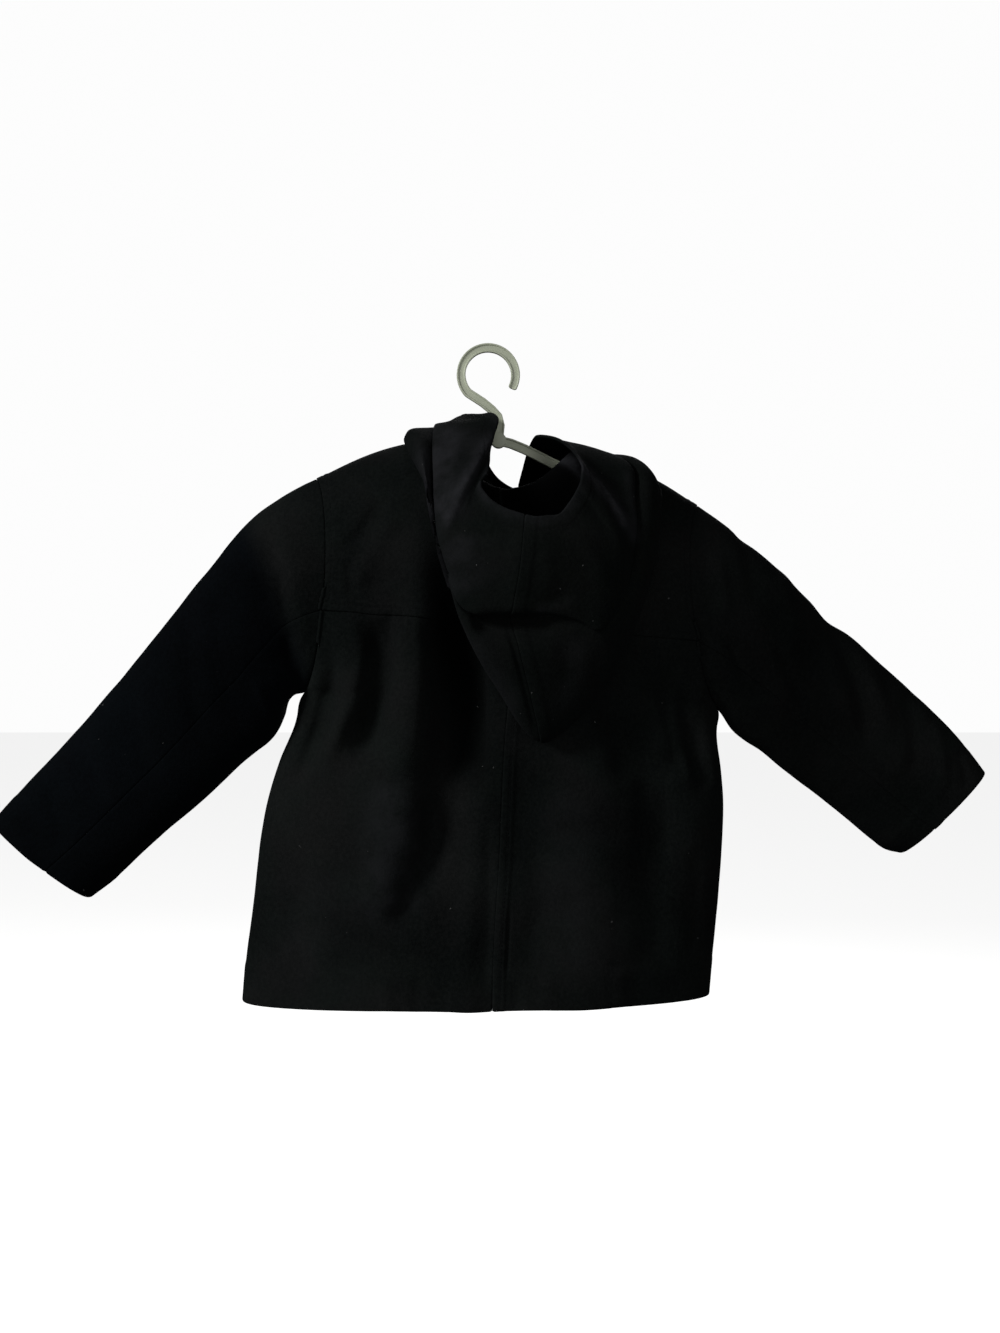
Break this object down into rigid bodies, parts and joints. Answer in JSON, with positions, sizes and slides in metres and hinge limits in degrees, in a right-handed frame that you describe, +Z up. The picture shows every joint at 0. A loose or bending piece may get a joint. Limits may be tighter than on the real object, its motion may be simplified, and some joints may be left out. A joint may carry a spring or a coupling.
{
  "type": "hooded pea coat on a hanger",
  "caption": "Child's hooded wool pea coat, double-breasted, with its hood thrown back, hanging from a slim plastic hanger.",
  "frame": {"origin": "the seat inside the top of the hanger's hook, where a rail carries it", "axes": "+Z up, -Y out of the coat's back, +X to the wearer's right"},
  "size_m": [0.934, 0.2402, 0.5986],
  "materials": {
    "wool": "napped melton wool, black",
    "button_plastic": "satin black",
    "hanger_plastic": "moulded, sage grey"
  },
  "bodies": {
    "root": {"back_left": "wool", "back_right": "wool", "yoke_back": "wool", "front_left": "wool", "front_right": "wool", "sleeve_left_top": "wool", "sleeve_left_under": "wool", "sleeve_right_top": "wool", "sleeve_right_under": "wool", "hood_left": "wool", "hood_right": "wool", "button_1": "button_plastic", "button_2": "button_plastic", "button_3": "button_plastic", "button_4": "button_plastic", "button_5": "button_plastic", "button_6": "button_plastic", "hanger": "hanger_plastic"}
  },
  "joints": []
}
